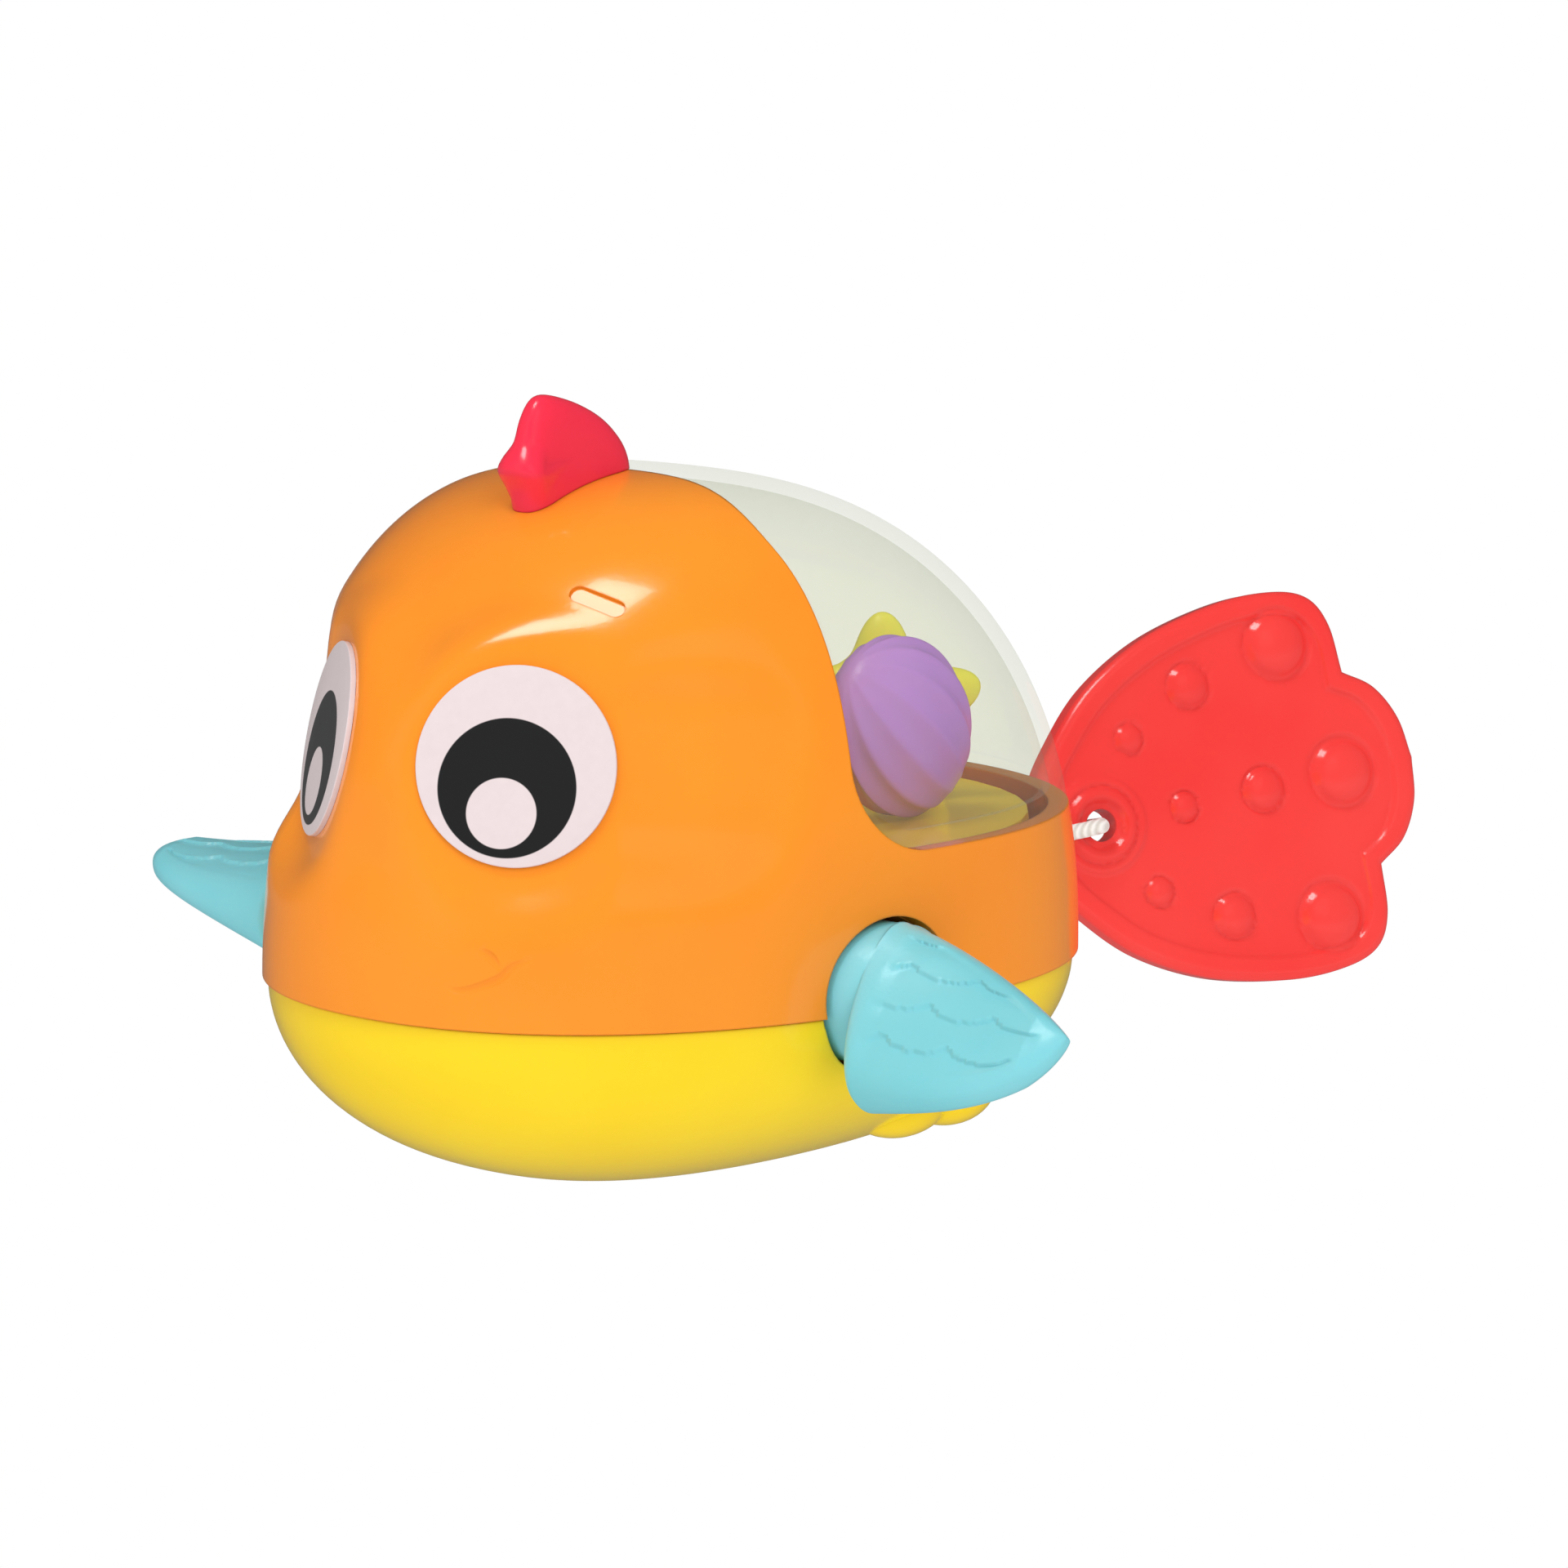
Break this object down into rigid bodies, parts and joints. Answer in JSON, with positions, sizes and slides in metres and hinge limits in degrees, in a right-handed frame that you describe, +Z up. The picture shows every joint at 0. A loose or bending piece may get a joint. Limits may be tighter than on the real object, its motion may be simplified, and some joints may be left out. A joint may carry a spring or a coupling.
{
  "type": "fish bath toy",
  "caption": "Floating fish toy with a clear dome over loose sea creatures; pulling its tail on a cord turns the side fins through a geared spring drum.",
  "frame": {"origin": "middle of the flat patch under the hull", "axes": "+Z up, the fish faces -Y, its left side is +X"},
  "size_m": [0.1528, 0.1837, 0.0983],
  "materials": {
    "orange_shell": "glossy moulded plastic",
    "yellow_hull": "glossy moulded plastic",
    "clear_dome": "clear moulded plastic",
    "yellow_tray": "satin moulded plastic",
    "eye_print": "printed label",
    "red_crest": "soft glossy vinyl",
    "teal_fin": "satin moulded plastic",
    "red_tail": "glossy moulded plastic",
    "white_cord": "braided cord",
    "inner_orange": "moulded plastic",
    "gasket": "soft rubber",
    "seal": "soft rubber",
    "white_gear": "moulded plastic",
    "grey_frame": "moulded plastic",
    "steel": "plain steel",
    "purple": "satin moulded plastic",
    "yellow_green": "satin moulded plastic",
    "teal": "satin moulded plastic"
  },
  "bodies": {
    "hull": {"upper_shell": "orange_shell", "lower_hull": "yellow_hull", "seam_gasket_front": "gasket", "seam_gasket_rear": "gasket", "clear_dome": "clear_dome", "play_tray": "yellow_tray", "left_eye_label": "eye_print", "right_eye_label": "eye_print", "crest": "red_crest", "left_fin_well": "inner_orange", "right_fin_well": "inner_orange", "left_axle_seal": "seal", "right_axle_seal": "seal", "pull_cord": "white_cord", "cord_grommet": "inner_orange", "drum_shaft": "steel", "spring_case": "grey_frame", "mainspring": "steel", "gear_frame_left": "grey_frame", "gear_frame_right": "grey_frame", "frame_spacer_1": "steel", "hull_screw_1": "steel", "frame_spacer_2": "steel", "hull_screw_2": "steel", "frame_spacer_3": "steel", "hull_screw_3": "steel", "frame_screw_1": "steel", "frame_screw_2": "steel", "frame_screw_3": "steel", "frame_screw_4": "steel"},
    "fin_set": {"fin_axle": "steel", "axle_pinion": "white_gear", "left_fin": "teal_fin", "right_fin": "teal_fin"},
    "drum": {"cord_drum": "white_gear", "cord_winding": "white_cord", "drum_gear": "white_gear"},
    "cord_end": {"cord_knot": "white_cord"},
    "tail_paddle": {"tail": "red_tail", "cord_loop": "white_cord"},
    "scallop_piece": {"scallop": "purple"},
    "starfish_piece": {"starfish": "yellow_green"},
    "small_fish_piece": {"teal_fish": "teal"}
  },
  "joints": [
    {"name": "tail_pull", "type": "slide", "parent": "hull", "child": "cord_end", "axis": [0, 1, 0], "range_m": [-0.012, 0.15], "deforming": ["pull_cord"]},
    {"name": "tail_swing", "type": "hinge", "parent": "cord_end", "child": "tail_paddle", "pos_m": [-0.00685, 0.06536, 0.02879], "axis": [0, 0, 1], "range_deg": [-20, 76]},
    {"name": "drum_turn", "type": "hinge", "parent": "hull", "child": "drum", "pos_m": [0, 0.00387, 0.02181], "axis": [-1, 0, 0], "range_deg": [-74.73, 934.17]},
    {"name": "fin_turn", "type": "hinge", "parent": "hull", "child": "fin_set", "pos_m": [0, -0.0162, 0.028], "axis": [1, 0, 0], "continuous": true},
    {"name": "scallop_rock", "type": "hinge", "parent": "hull", "child": "scallop_piece", "pos_m": [0.026, 0.007, 0.05], "axis": [0, 0, 1], "range_deg": [-12, 12]},
    {"name": "starfish_rock", "type": "hinge", "parent": "hull", "child": "starfish_piece", "pos_m": [0.0135, 0.0185, 0.05], "axis": [0, 0, 1], "range_deg": [-6, 6]},
    {"name": "small_fish_rock", "type": "hinge", "parent": "hull", "child": "small_fish_piece", "pos_m": [0.004, -0.002, 0.05], "axis": [0, 0, 1], "range_deg": [-10, 10]}
  ],
  "couplings": [
    {"joint": "tail_pull", "follows": "drum_turn", "m_per_rad": 0.0092},
    {"joint": "fin_turn", "follows": "drum_turn", "ratio": 2}
  ]
}
